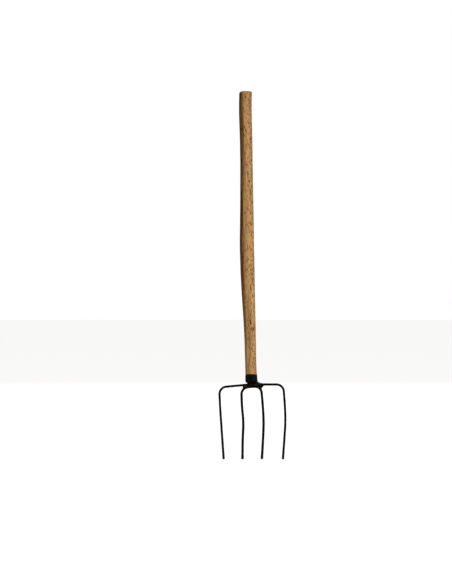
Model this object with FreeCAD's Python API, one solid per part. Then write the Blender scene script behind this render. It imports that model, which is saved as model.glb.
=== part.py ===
import FreeCAD, Part
import math
import os

# A miniature four-tined hay fork: a whittled handle in a black steel ferrule, and two bent
# wires, one inside the other, welded together under the ferrule to make the four tines.
#
# Millimetres. The fork stands upright on its tine tips. +Z is up the handle, +X is to the right
# seen from the front, and the tines curve forward, towards -Y. The model is drawn about the
# ferrule's axis with the tine tips at Z 0, and is moved sideways at the end, so that the origin
# is under the middle of the whole fork.

# Overall
overall_height = 200.0
tine_length = 40.51  # tine tips to the middle of the outer bow's bar, under the ferrule
outer_span = 34.8  # outer tines, middle to middle at the shoulders
inner_span = 10.7  # inner tines, middle to middle at the shoulders
tine_sweep_radius = 180.0  # of the tines' forward curve, seen from the side

# Wires
outer_wire_diameter = 1.3
inner_wire_diameter = 1.4
outer_shoulder_radius = 4.0
inner_shoulder_radius_left = 4.1
inner_shoulder_radius_right = 3.5
inner_bow_setback = 0.65  # the inner bow's bar is nested this far behind the outer one
bar_kink_x = -0.6  # where both bars bend, left of the ferrule's axis
bar_kink_radius = 10.0
bar_drop_left = 1.58  # how far the outer bar's left end lies below its middle
wire_gap = 0.02  # between the two bars, filled by the weld's root
longest_bend = 0.8  # of the shorter run beside a bend, at the most

# Each tine bends sideways by hand. These are its distances to the right of a plumb line
# through its shoulder, at each of these shares of the way from the bar down to its tip.
tine_stations = (0.25, 0.50, 0.75, 1.00)
outer_left_wander = (0.38, 1.04, 1.71, 2.38)
inner_left_wander = (0.21, 1.18, 0.67, 0.57)
inner_right_wander = (0.94, 1.47, 1.04, 0.42)
outer_right_wander = (0.87, 1.25, 0.55, -0.22)

# Ferrule, drawn from sheet steel with a closed floor
ferrule_radius = 3.25
ferrule_wall = 0.35
ferrule_floor = 0.5
ferrule_height = 4.74
ferrule_edge_radius = 1.5  # outside, round the floor
ferrule_lift = 0.03  # above the top of the bar

# Tang, welded to the bar and glued into the handle
tang_radius = 0.75
tang_depth = 17.0  # above the ferrule's rim, its point included
tang_point = 2.5
tang_tip_radius = 0.2
tang_slack = 0.05  # around the tang in the ferrule's floor
glue_thickness = 0.2
glue_pocket = 0.8  # bore left past the tang's point

# Handle
seat_slack = 0.03  # between the handle's reduced end and the ferrule's wall
seat_end_slack = 0.25  # below the reduced end
grip_end_length = 11.0  # straight round stretch at the top
grip_end_radius = 3.5
top_edge_round = 0.6
neck_step = 0.08  # the wood meets the ferrule's rim this far inside its edge
handle_lean = -3.15  # how far right of the ferrule's axis the straight top stretch is
handle_bow = 0.35  # how far the handle strays to the back and to the front

# Between the ferrule's rim and the straight top stretch, the handle's thickness and line change
# slowly. Each station is its share of that length, its share of the lean, its share of the bow
# towards the back, and the handle's radius there.
handle_stations = (
    (0.08, 0.12, 0.30, 3.11),
    (0.17, 0.23, 0.70, 3.30),
    (0.28, 0.44, 0.90, 3.64),
    (0.40, 0.64, 0.80, 3.95),
    (0.58, 0.75, 0.30, 3.85),
    (0.72, 0.78, -0.20, 3.55),
    (0.87, 0.87, -0.70, 3.45),
)

# Welds
bead_radius = 0.5
bead_inset_left = 1.3  # from the inner bow's left shoulder to the bead's end
bead_outset_right = 0.6  # the same past its right shoulder
web_thickness = 0.8
web_inset_left = 0.7  # from the inner bow's left shoulder to the web's free edge
web_outset_right = 2.2  # the same past its right shoulder, along the bar
web_right_radius = 1.6  # of the right web's hollow front
neck_weld_cover = 0.2  # around the tang
neck_weld_inset = 1.0  # of its left end, from the ferrule's side

# On the right the neck weld is heaped: it starts up the ferrule's side, falls in a hollow curve
# to a low shelf, and runs out along the bar.
heap_height = 2.4  # up the ferrule's side, from the bar's middle
shelf_height = 0.9  # the same for the shelf
shelf_run = 1.25  # from the ferrule's side to the shelf
heap_run = 3.8  # from the ferrule's side to the heap's end
hollow_run = 0.3  # of the shelf's run, where the hollow curve is measured
hollow_height = 0.42  # of the heap's height over the shelf, at that place
crown_fall = 0.2  # how much of the fall from the shelf to the end is over halfway along
weld_crown = 2.64  # half the height of the neck weld's rounded section

outer_wire = outer_wire_diameter / 2
inner_wire = inner_wire_diameter / 2
wire_pitch = outer_wire + inner_wire + wire_gap
inner_bow_drop = math.sqrt(wire_pitch**2 - inner_bow_setback**2)
ferrule_bottom = tine_length + outer_wire + ferrule_lift
ferrule_top = ferrule_bottom + ferrule_height
bore_radius = tang_radius + glue_thickness
seat_radius = ferrule_radius - ferrule_wall - seat_slack
floor_corner_radius = ferrule_edge_radius - ferrule_wall


def at(x, y, z):
    return FreeCAD.Vector(x, y, z)


up = at(0, 0, 1)
right = at(1, 0, 0)
forward = at(0, -1, 0)


def cylinder(radius, bottom, top):
    return Part.makeCylinder(radius, top - bottom, at(0, 0, bottom), up)


def one_solid(shape):
    # The largest solid of a result, in case a cut leaves a crumb beside it.
    return max(shape.Solids, key=lambda solid: solid.Volume)


# The wires


def bar_height(x):
    # Height of the middle of the outer bow's bar above the tine tips: level, but for its left
    # part, which falls away from the kink.
    if x >= bar_kink_x:
        return tine_length
    return tine_length - bar_drop_left * (bar_kink_x - x) / (bar_kink_x + outer_span / 2)


def inner_bar_height(x):
    # The inner bow's bar follows the outer one all the way.
    return bar_height(x) - inner_bow_drop


def sweep(height, bar):
    # How far forward a tine has curved at a height, given the height of its bar.
    fall = bar - height
    return tine_sweep_radius - math.sqrt(tine_sweep_radius**2 - fall**2)


def tine_line(shoulder, wander, wire):
    # The tine's middle line from below its shoulder down to the middle of its rounded tip.
    points = []
    for share, aside in zip(tine_stations, wander):
        height = shoulder.z + share * (wire - shoulder.z)
        points.append(at(shoulder.x + aside, shoulder.y - sweep(height, shoulder.z), height))
    return points


def corner_arc(before, corner, after, radius):
    # A round bend at a corner. With no radius given it takes nearly half the shorter run.
    back = (before - corner).normalize()
    on = (after - corner).normalize()
    half_turn = (math.pi - back.getAngle(on)) / 2
    shorter = min(before.distanceToPoint(corner), after.distanceToPoint(corner))
    setback = 0.45 * shorter
    if radius is not None:
        setback = min(radius * math.tan(half_turn), longest_bend * shorter)
    bend = setback / math.tan(half_turn)
    inside = (back + on).normalize()
    crown = corner + inside * (bend / math.cos(half_turn) - bend)
    return Part.Arc(corner + back * setback, crown, corner + on * setback)


def bent_wire(points, bends, radius):
    # A round wire through the points, bent at each one between its ends, with rounded tips.
    edges = []
    start = points[0]
    for i in range(1, len(points) - 1):
        arc = corner_arc(points[i - 1], points[i], points[i + 1], bends.get(i))
        edges.append(Part.LineSegment(start, arc.StartPoint).toShape())
        edges.append(arc.toShape())
        start = arc.EndPoint
    edges.append(Part.LineSegment(start, points[-1]).toShape())
    first_way = (points[1] - points[0]).normalize()
    last_way = (points[-1] - points[-2]).normalize()
    section = Part.Face(Part.Wire(Part.Circle(points[0], first_way, radius).toShape()))
    wire = Part.Wire(edges).makePipe(section)
    first_tip = Part.makeSphere(radius, points[0], first_way * -1, 0, 90, 360)
    last_tip = Part.makeSphere(radius, points[-1], last_way, 0, 90, 360)
    return one_solid(wire.fuse([first_tip, last_tip]))


def bow_line(span, set_back, height, left_wander, right_wander, wire):
    # The bow's middle line, from its left tip up, along the bar and down to its right tip.
    left, kink, right_end = [at(x, set_back, height(x)) for x in (-span / 2, bar_kink_x, span / 2)]
    left_tine = tine_line(left, left_wander, wire)
    right_tine = tine_line(right_end, right_wander, wire)
    return left_tine[::-1] + [left, kink, right_end] + right_tine


def bow_bends(left_radius, right_radius):
    # The bends that have a size of their own, by their place in the bow's middle line.
    left = len(tine_stations)
    return {left: left_radius, left + 1: bar_kink_radius, left + 2: right_radius}


def make_outer_bow():
    wanders = (outer_left_wander, outer_right_wander)
    line = bow_line(outer_span, 0, bar_height, *wanders, outer_wire)
    return bent_wire(line, bow_bends(outer_shoulder_radius, outer_shoulder_radius), outer_wire)


def make_inner_bow():
    wanders = (inner_left_wander, inner_right_wander)
    line = bow_line(inner_span, inner_bow_setback, inner_bar_height, *wanders, inner_wire)
    bends = bow_bends(inner_shoulder_radius_left, inner_shoulder_radius_right)
    return bent_wire(line, bends, inner_wire)


# The ferrule, and what goes up through its floor into the handle


def round_edge(solid, height):
    # The round edge of an upright cylinder's end at this height.
    for edge in solid.Edges:
        box = edge.BoundBox
        if abs(box.ZMin - height) < 1e-6 and abs(box.ZMax - height) < 1e-6:
            return edge


def round_bottomed(radius, bottom, top, edge_radius):
    body = cylinder(radius, bottom, top)
    return body.makeFillet(edge_radius, [round_edge(body, bottom)])


def ferrule_outside():
    return round_bottomed(ferrule_radius, ferrule_bottom, ferrule_top, ferrule_edge_radius)


def make_ferrule():
    floor_top = ferrule_bottom + ferrule_floor
    past_rim = ferrule_top + ferrule_wall
    inside_radius = ferrule_radius - ferrule_wall
    inside = round_bottomed(inside_radius, floor_top, past_rim, floor_corner_radius)
    tang_hole = cylinder(tang_radius + tang_slack, ferrule_bottom, ferrule_top)
    return one_solid(ferrule_outside().cut(inside).cut(tang_hole))


def make_tang(outer_bow):
    top = ferrule_top + tang_depth
    spike = cylinder(tang_radius, bar_height(0), top - tang_point)
    shoulder = at(0, 0, top - tang_point)
    tip = Part.makeCone(tang_radius, tang_tip_radius, tang_point, shoulder, up)
    return one_solid(spike.fuse(tip).cut(outer_bow))


def seat_bottom():
    return ferrule_bottom + ferrule_floor + seat_end_slack


def tang_bore():
    return cylinder(bore_radius, seat_bottom(), ferrule_top + tang_depth + glue_pocket)


def make_tang_glue(tang):
    return one_solid(tang_bore().cut(tang))


# The handle


def ring(x, y, z, radius):
    return Part.Wire(Part.Circle(at(x, y, z), up, radius).toShape())


def make_handle():
    straight_bottom = overall_height - grip_end_length
    shaped_length = straight_bottom - ferrule_top
    rings = [ring(0, 0, ferrule_top, ferrule_radius - neck_step)]
    for share, lean, bow, radius in handle_stations:
        height = ferrule_top + share * shaped_length
        rings.append(ring(lean * handle_lean, bow * handle_bow, height, radius))
    rings.append(ring(handle_lean, -handle_bow, straight_bottom, grip_end_radius))
    shaped = Part.makeLoft(rings, True, False)
    end_middle = at(handle_lean, -handle_bow, straight_bottom)
    grip_end = Part.makeCylinder(grip_end_radius, grip_end_length, end_middle, up)
    grip_end = grip_end.makeFillet(top_edge_round, [round_edge(grip_end, overall_height)])
    seat = round_bottomed(seat_radius, seat_bottom(), ferrule_top, floor_corner_radius)
    return one_solid(shaped.fuse([grip_end, seat]).cut(tang_bore()))


# The welds


def seam(x):
    # The middle of the narrow gap between the two bars.
    share = (outer_wire + wire_gap / 2) / wire_pitch
    return at(x, share * inner_bow_setback, bar_height(x) - share * inner_bow_drop)


def slab(outline, thickness, middle):
    # An upright plate of this closed outline in X and Z, with its middle this far back.
    face = Part.Face(Part.Wire([edge.toShape() for edge in outline]))
    plate = face.extrude(at(0, thickness, 0))
    plate.translate(at(0, middle - thickness / 2, 0))
    return plate


def make_weld_web_left(outer_bow, inner_bow):
    # A small flat-fronted web in the notch where the inner wire turns down on the left.
    free_edge = web_inset_left - inner_span / 2
    root = inner_shoulder_radius_left - inner_span / 2
    bottom = inner_bar_height(root) - inner_shoulder_radius_left / 2
    corners = (
        at(free_edge, 0, bar_height(free_edge)),
        at(root, 0, bar_height(root)),
        at(root, 0, inner_bar_height(root)),
        at(free_edge, 0, bottom),
    )
    outline = [Part.LineSegment(a, b) for a, b in zip(corners, corners[1:] + corners[:1])]
    web = slab(outline, web_thickness, seam(0).y)
    return one_solid(web.cut(outer_bow).cut(inner_bow))


def make_weld_web_right(outer_bow, inner_bow):
    # A larger one on the right, hollowed by a round front between the bar and the inner wire.
    bar_end = inner_span / 2 + web_outset_right
    root_x = inner_span / 2 - inner_shoulder_radius_right
    bar_middle = at(bar_end, 0, bar_height(bar_end))
    bar_under = bar_middle - up * outer_wire
    wire_side = at(inner_span / 2 + inner_wire, 0, bar_under.z - web_right_radius)
    slant = web_right_radius * (1 - math.sqrt(0.5))
    hollow = at(wire_side.x + slant, 0, bar_under.z - slant)
    inner_middle = at(inner_span / 2 - inner_wire, 0, wire_side.z)
    root = at(root_x, 0, inner_bar_height(root_x))
    root_top = at(root_x, 0, bar_height(root_x))
    outline = [
        Part.Arc(bar_under, hollow, wire_side),
        Part.LineSegment(wire_side, inner_middle),
        Part.LineSegment(inner_middle, root),
        Part.LineSegment(root, root_top),
        Part.LineSegment(root_top, bar_middle),
        Part.LineSegment(bar_middle, bar_under),
    ]
    web = slab(outline, web_thickness, seam(0).y)
    return one_solid(web.cut(outer_bow).cut(inner_bow))


def make_weld_bead(side, others):
    # A round bead in the valley between the bars, on the front (-1) or the back (+1).
    across = at(0, inner_bow_drop, inner_bow_setback) * (side * bead_radius / wire_pitch)
    ends = (bead_inset_left - inner_span / 2, bead_outset_right + inner_span / 2)
    line = [seam(x) + across for x in (ends[0], bar_kink_x, ends[1])]
    return one_solid(bent_wire(line, {1: bar_kink_radius}, bead_radius).cut(others))


def make_neck_weld(others):
    # The weld between the ferrule's floor and the bar, heaped on the right.
    bar = bar_height(0)
    left_x = neck_weld_inset - ferrule_radius
    foot = seam(left_x).z
    left_foot = at(left_x, 0, foot)
    left_top = at(left_x, 0, ferrule_bottom + ferrule_edge_radius)
    heap_top = at(ferrule_radius, 0, bar + heap_height)
    shelf = at(ferrule_radius + shelf_run, 0, bar + shelf_height)
    heap_end = at(ferrule_radius + heap_run, 0, bar_height(ferrule_radius + heap_run) + outer_wire)
    heap_foot = at(heap_end.x, 0, foot)
    over_shelf = heap_top.z - shelf.z
    hollow = at(ferrule_radius + hollow_run * shelf_run, 0, shelf.z + hollow_height * over_shelf)
    crown = at((shelf.x + heap_end.x) / 2, 0, shelf.z - crown_fall * (shelf.z - heap_end.z))
    outline = [
        Part.LineSegment(left_foot, left_top),
        Part.LineSegment(left_top, heap_top),
        Part.Arc(heap_top, hollow, shelf),
        Part.Arc(shelf, crown, heap_end),
        Part.LineSegment(heap_end, heap_foot),
        Part.LineSegment(heap_foot, left_foot),
    ]
    half_width = tang_radius + neck_weld_cover
    prism = slab(outline, 2 * half_width, 0)
    # Across the bar the weld is rounded: widest at the bar, and narrow at the top of the heap.
    middle = at(left_x, 0, bar)
    section = Part.Ellipse(middle + up * weld_crown, middle + forward * half_width, middle)
    rounding = Part.Face(Part.Wire(section.toShape())).extrude(right * (heap_end.x - left_x))
    return one_solid(prism.common(rounding).cut(others))


def make_fork():
    outer_bow = make_outer_bow()
    inner_bow = make_inner_bow()
    ferrule = make_ferrule()
    tang = make_tang(outer_bow)
    web_left = make_weld_web_left(outer_bow, inner_bow)
    web_right = make_weld_web_right(outer_bow, inner_bow)
    beside_beads = [outer_bow, inner_bow, tang, web_left, web_right]
    bead_front = make_weld_bead(-1, beside_beads)
    bead_back = make_weld_bead(1, beside_beads)
    beside_neck = beside_beads + [ferrule_outside(), bead_front, bead_back]
    return {
        "handle": make_handle(),
        "ferrule": ferrule,
        "tang": tang,
        "tang_glue": make_tang_glue(tang),
        "outer_bow": outer_bow,
        "inner_bow": inner_bow,
        "weld_bead_front": bead_front,
        "weld_bead_back": bead_back,
        "weld_web_left": web_left,
        "weld_web_right": web_right,
        "neck_weld": make_neck_weld(beside_neck),
    }


def centred(pieces):
    # Every piece moved sideways alike, so that the fork's middle is over the origin.
    whole = Part.makeCompound(list(pieces.values())).optimalBoundingBox(False)
    aside = at(-whole.Center.x, -whole.Center.y, 0)
    for piece in pieces.values():
        piece.translate(aside)
    return pieces, aside


fork, shift = centred(make_fork())
os.makedirs("parts", exist_ok=True)
for node, piece in fork.items():
    piece.exportStep("parts/" + node + ".step")
    print(f"{node}: {piece.Volume:.2f} mm3, {'sound' if piece.isValid() else 'NOT SOUND'}")
print(f"ferrule's axis at x {shift.x:.3f}, y {shift.y:.3f}; ferrule's rim at z {ferrule_top:.2f}")
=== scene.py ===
import math

import bmesh
import bpy
import numpy as np
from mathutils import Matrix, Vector


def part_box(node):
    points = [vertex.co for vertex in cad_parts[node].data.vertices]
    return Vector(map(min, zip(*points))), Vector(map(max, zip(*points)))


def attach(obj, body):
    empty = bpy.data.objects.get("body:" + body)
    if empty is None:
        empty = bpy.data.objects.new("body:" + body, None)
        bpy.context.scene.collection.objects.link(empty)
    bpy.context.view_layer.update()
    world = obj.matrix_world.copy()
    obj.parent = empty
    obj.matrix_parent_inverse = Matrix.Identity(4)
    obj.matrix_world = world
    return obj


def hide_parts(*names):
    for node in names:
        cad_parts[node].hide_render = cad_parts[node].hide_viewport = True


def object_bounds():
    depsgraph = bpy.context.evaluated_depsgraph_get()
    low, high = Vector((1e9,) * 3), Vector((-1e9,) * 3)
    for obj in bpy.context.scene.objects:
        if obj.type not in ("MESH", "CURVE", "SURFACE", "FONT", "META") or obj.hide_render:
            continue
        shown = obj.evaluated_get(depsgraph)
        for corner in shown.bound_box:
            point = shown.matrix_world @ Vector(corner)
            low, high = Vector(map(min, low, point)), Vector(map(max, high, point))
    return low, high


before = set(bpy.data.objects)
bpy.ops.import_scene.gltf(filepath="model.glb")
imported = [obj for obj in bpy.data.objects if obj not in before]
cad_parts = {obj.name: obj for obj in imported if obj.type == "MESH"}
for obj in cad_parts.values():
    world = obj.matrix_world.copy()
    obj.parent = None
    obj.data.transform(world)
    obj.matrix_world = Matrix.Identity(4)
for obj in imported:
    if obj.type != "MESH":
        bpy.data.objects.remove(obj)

# A miniature hay fork, 20 cm tall: a whittled beech stick in a black enamelled steel collar,
# over two bent wires that are welded together and dipped in black enamel.
# It stands on its tine tips at z 0. +X is to the right, -Y is to the front.

cadLow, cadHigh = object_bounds()
mm = 0.001
up = np.array((0.0, 0.0, 1.0))


def linearColour(hexColour):
    # an sRGB hex colour as the linear one that nodes take
    shares = [int(hexColour[i:i + 2], 16) / 255 for i in (1, 3, 5)]
    lights = [s / 12.92 if s <= 0.04045 else ((s + 0.055) / 1.055) ** 2.4 for s in shares]
    return (*lights, 1.0)


def linkInputs(tree, node, links):
    # a link's value is a node, a socket or a plain value for that input
    for name, value in links.items():
        if isinstance(value, bpy.types.Node):
            value = value.outputs[0]
        if isinstance(value, bpy.types.NodeSocket):
            tree.links.new(value, node.inputs[name])
        else:
            node.inputs[name].default_value = value


def addNode(tree, kind, links=None, **settings):
    # adds a node with its settings, which can change what inputs it has, and then its links
    node = tree.nodes.new(kind)
    for name, value in settings.items():
        setattr(node, name, value)
    linkInputs(tree, node, links or {})
    return node


def newObject(name, mesh):
    piece = bpy.data.objects.new(name, mesh)
    bpy.context.scene.collection.objects.link(piece)
    return piece


def meshFrom(name, points, faces=(), edges=()):
    mesh = bpy.data.meshes.new(name)
    mesh.from_pydata([tuple(p) for p in points], list(edges), list(faces))
    mesh.update()
    return mesh


def ringFaces(rings, sides, closed=False):
    # quads between each ring of points and the next, and round to the first if closed
    faces = []
    for k in range(rings if closed else rings - 1):
        here, after = k * sides, (k + 1) % rings * sides
        for i in range(sides):
            j = (i + 1) % sides
            faces.append((here + i, here + j, after + j, after + i))
    return faces


# Geometry Nodes


def newTree(name, labels, **kinds):
    # a geometry tree with a mesh in and out, a named input for each of its sizes, which are
    # plain numbers if kinds doesn't say otherwise, and a seed and a material
    tree = bpy.data.node_groups.new(name, "GeometryNodeTree")
    kinds.update(Geometry="Geometry", Material="Material")
    for label in ("Geometry", *labels, "Seed", "Material"):
        kind = "NodeSocket" + kinds.get(label.replace(" ", ""), "Float")
        tree.interface.new_socket(label, in_out="INPUT", socket_type=kind)
    tree.interface.new_socket("Geometry", in_out="OUTPUT", socket_type="NodeSocketGeometry")
    return tree, addNode(tree, "NodeGroupInput").outputs


def endTree(tree, shape, material):
    # every tree ends alike: smooth faces, no instances left, and its material set
    smooth = addNode(tree, "GeometryNodeSetShadeSmooth", {0: shape})
    real = addNode(tree, "GeometryNodeRealizeInstances", {0: smooth})
    painted = addNode(tree, "GeometryNodeSetMaterial", {"Geometry": real, "Material": material})
    addNode(tree, "NodeGroupOutput", {0: painted})


def aboutMiddle(tree, noise, *factors):
    # a noise's value, less its middle and times these factors
    value = addNode(tree, "ShaderNodeMath", {0: noise, 1: 0.5}, operation="SUBTRACT")
    for factor in factors:
        value = addNode(tree, "ShaderNodeMath", {0: value, 1: factor}, operation="MULTIPLY")
    return value


def pushOut(tree, shape, distance):
    # moves a surface out along its normals
    normal = addNode(tree, "GeometryNodeInputNormal")
    offset = addNode(tree, "ShaderNodeVectorMath", {0: normal, "Scale": distance},
                     operation="SCALE")
    return addNode(tree, "GeometryNodeSetPosition", {"Geometry": shape, "Offset": offset})


def addLumps(tree, shape, size, height, seed):
    # pushes a surface in and out along its normals, by a noise of this size and height
    place = addNode(tree, "GeometryNodeInputPosition")
    finer = addNode(tree, "ShaderNodeMath", {0: 1.0, 1: size}, operation="DIVIDE")
    noise = addNode(tree, "ShaderNodeTexNoise", {
        "Vector": place, "W": seed, "Scale": finer, "Detail": 2}, noise_dimensions="4D")
    return pushOut(tree, shape, aboutMiddle(tree, noise, height))


def runTree(name, mesh, tree, values):
    # runs a tree on a mesh and keeps what comes out as a plain mesh
    host = newObject(name + "_source", mesh)
    modifier = host.modifiers.new(tree.name, "NODES")
    modifier.node_group = tree
    inputs = [item for item in tree.interface.items_tree if item.in_out == "INPUT"]
    sockets = {item.name: item.identifier for item in inputs}
    for label, value in values.items():
        modifier[sockets[label]] = value
    bpy.context.view_layer.update()
    shown = host.evaluated_get(bpy.context.evaluated_depsgraph_get())
    plain = bpy.data.meshes.new_from_object(shown)
    plain.name = name
    bpy.data.objects.remove(host)
    return newObject(name, plain)


def settle(piece, *nodes):
    # the finished piece takes the place of its CAD nodes
    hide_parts(*nodes)
    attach(piece, "root")


# Measuring the frame


def surfaceOf(node):
    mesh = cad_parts[node].data
    points = np.empty(len(mesh.vertices) * 3)
    mesh.vertices.foreach_get("co", points)
    edges = np.empty(len(mesh.edges) * 2, int)
    mesh.edges.foreach_get("vertices", edges)
    return points.reshape(-1, 3), edges.reshape(-1, 2)


def crossing(surface, place, way):
    # the points where a surface's edges pass through the plane at place, square to way
    points, edges = surface
    depth = (points - place) @ way
    first, second = depth[edges[:, 0]], depth[edges[:, 1]]
    crossed = (first < 0) != (second < 0)
    share = (first[crossed] / (first[crossed] - second[crossed]))[:, None]
    starts, ends = points[edges[crossed, 0]], points[edges[crossed, 1]]
    return starts + share * (ends - starts)


def fitCircle(hits, way):
    # the middle and the radius of the circle through these points of one plane
    aside = np.cross(way, (0.0, 1.0, 0.0) if abs(way[1]) < 0.7 else (1.0, 0.0, 0.0))
    aside /= np.linalg.norm(aside)
    across = np.cross(way, aside)
    middle = hits.mean(0)
    u, v = (hits - middle) @ aside, (hits - middle) @ across
    table = np.column_stack((2 * u, 2 * v, np.ones(len(u))))
    u0, v0, rest = np.linalg.lstsq(table, u * u + v * v, rcond=None)[0]
    return middle + u0 * aside + v0 * across, math.sqrt(rest + u0 * u0 + v0 * v0)


# Materials


def newMaterial(name):
    # a material, its tree and shader, and the place on the object that is being shaded
    material = bpy.data.materials.new(name)
    material.use_nodes = True
    tree = material.node_tree
    place = addNode(tree, "ShaderNodeTexCoord").outputs["Object"]
    return material, tree, tree.nodes["Principled BSDF"], place


# Black brushing enamel over steel wire, dipped: near black, with a dull sheen that wanders a
# little, faint runs, and a dusty grey brown where it has thinned.
enamel = {
    "deep": "#080707",
    "dusty": "#161412",
    "shine": 0.42,
    "dullness": 0.62,
    "specular": 0.08,
    "hazeSize": 2.6,  # mm, of the dusty patches
    "peelSize": 0.45,  # mm, orange peel, drawn about twice as coarse as it is
    "peelDepth": 0.004,  # mm
}


def enamelMaterial(name, look):
    material, tree, shader, place = newMaterial(name)
    haze = addNode(tree, "ShaderNodeTexNoise", {
        "Vector": place, "Scale": 1 / (look["hazeSize"] * mm), "Detail": 4, "Roughness": 0.6})
    patches = addNode(tree, "ShaderNodeMapRange", {
        "Value": haze, "From Min": 0.42, "From Max": 0.72})
    colour = addNode(tree, "ShaderNodeMix", {
        "Factor": patches, "A": linearColour(look["deep"]), "B": linearColour(look["dusty"]),
    }, data_type="RGBA")
    gloss = addNode(tree, "ShaderNodeMapRange", {
        "Value": haze, "From Min": 0.35, "From Max": 0.7,
        "To Min": look["shine"], "To Max": look["dullness"]})
    peel = addNode(tree, "ShaderNodeTexNoise", {
        "Vector": place, "Scale": 1 / (look["peelSize"] * mm), "Detail": 2})
    bump = addNode(tree, "ShaderNodeBump", {
        "Height": peel, "Distance": look["peelDepth"] * mm})
    linkInputs(tree, shader, {
        "Base Color": colour.outputs[2], "Roughness": gloss, "Normal": bump,
        "Specular IOR Level": look["specular"]})
    return material


# The same enamel where it has filled the ripples of the weld: smoother, so it catches light.
weldEnamel = dict(enamel, shine=0.2, dullness=0.42, specular=0.55, peelSize=0.8)

# European beech, whittled and oiled: warm tan, with paler and ruddier bands along the stick,
# fine dark pores, and the short brown flecks that beech shows wherever a ray is cut.
beech = {
    "pale": "#D5AC6A",
    "ruddy": "#CC955F",
    "olive": "#A97D3C",
    "speck": "#E2BC7C",
    "sideShade": "#86673F",  # painted shade with a grey sheen on the side cut across the rays, the stick's right
    "shadeFrom": 60,  # mm up the stick, where that painted shade starts to grow
    "shadeTo": 197,  # mm
    "leastSideShade": 0.08,
    "mostSideShade": 0.85,
    "soiledFrom": 184,  # mm, the top end, browned by hands
    "soiledTo": 199,  # mm
    "mostSoiled": 0.2,
    "brown": "#5C2600",
    # the deepest pits take this: painted shade, with the pin knots' dark wood
    "black": "#160A04",
    "bandWidth": 1.5,  # mm
    "bandLength": 26,  # mm
    "ringSpacing": 1.3,  # mm, a year's growth
    "grainWidth": 0.3,  # mm
    "grainLength": 7,  # mm
    "fleckRoom": (0.45, 0.45, 2.2),  # mm, across, into and up the rays
    "fleckEdge": 0.622,  # of the noise, over which a ray is dark
    "fleckMore": 0.068,  # less than that on the side cut across the rays
    "rayFacing": (1.0, -0.3, 0.33),  # which way the rays' flat sides face
    "grainDepth": 0.03,  # mm
    "fleckDepth": 0.03,  # mm
    "speckShare": 0.45,
    "roughness": 0.55,
    "specular": 0.25,
}


def rayAxes(look):
    # three directions: across the rays, into the wood along them, and up the grain
    across = Vector(look["rayFacing"]).normalized()
    upGrain = (Vector((0, 0, 1)) - across * across.z).normalized()
    return across, upGrain.cross(across), upGrain


def grainAxes(look):
    # the same, but upright: the grain itself runs straight up the stick
    across = Vector((look["rayFacing"][0], look["rayFacing"][1], 0)).normalized()
    return across, Vector((0, 0, 1)).cross(across), Vector((0, 0, 1))


def along(tree, place, axes, sizes):
    # place in a turned frame, measured in these sizes (mm) along its three axes
    shares = []
    for axis, size in zip(axes, sizes):
        scaled = tuple(axis * (1 / (size * mm)))
        shares.append(addNode(tree, "ShaderNodeVectorMath", {0: place, 1: scaled},
                              operation="DOT_PRODUCT").outputs["Value"])
    return addNode(tree, "ShaderNodeCombineXYZ", dict(enumerate(shares)))


def rayFlecks(tree, place, look, side):
    # dark dashes where a ray is cut, and pale specks between them: 0 off them, 1 on them
    rooms = along(tree, place, rayAxes(look), look["fleckRoom"])
    rays = addNode(tree, "ShaderNodeTexNoise", {
        "Vector": rooms, "Scale": 1.0, "Detail": 1.5, "Roughness": 0.5, "Distortion": 0.3})
    # more of them on the side that is cut across the rays
    edge = addNode(tree, "ShaderNodeMath", {
        0: side, 1: -look["fleckMore"], 2: look["fleckEdge"]}, operation="MULTIPLY_ADD")
    over = addNode(tree, "ShaderNodeMath", {0: rays, 1: edge}, operation="SUBTRACT")
    dark = addNode(tree, "ShaderNodeMapRange", {
        "Value": over, "From Min": -0.01, "From Max": 0.035})
    pale = addNode(tree, "ShaderNodeMapRange", {
        "Value": rays, "From Min": 0.44, "From Max": 0.36})
    return dark, pale


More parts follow.
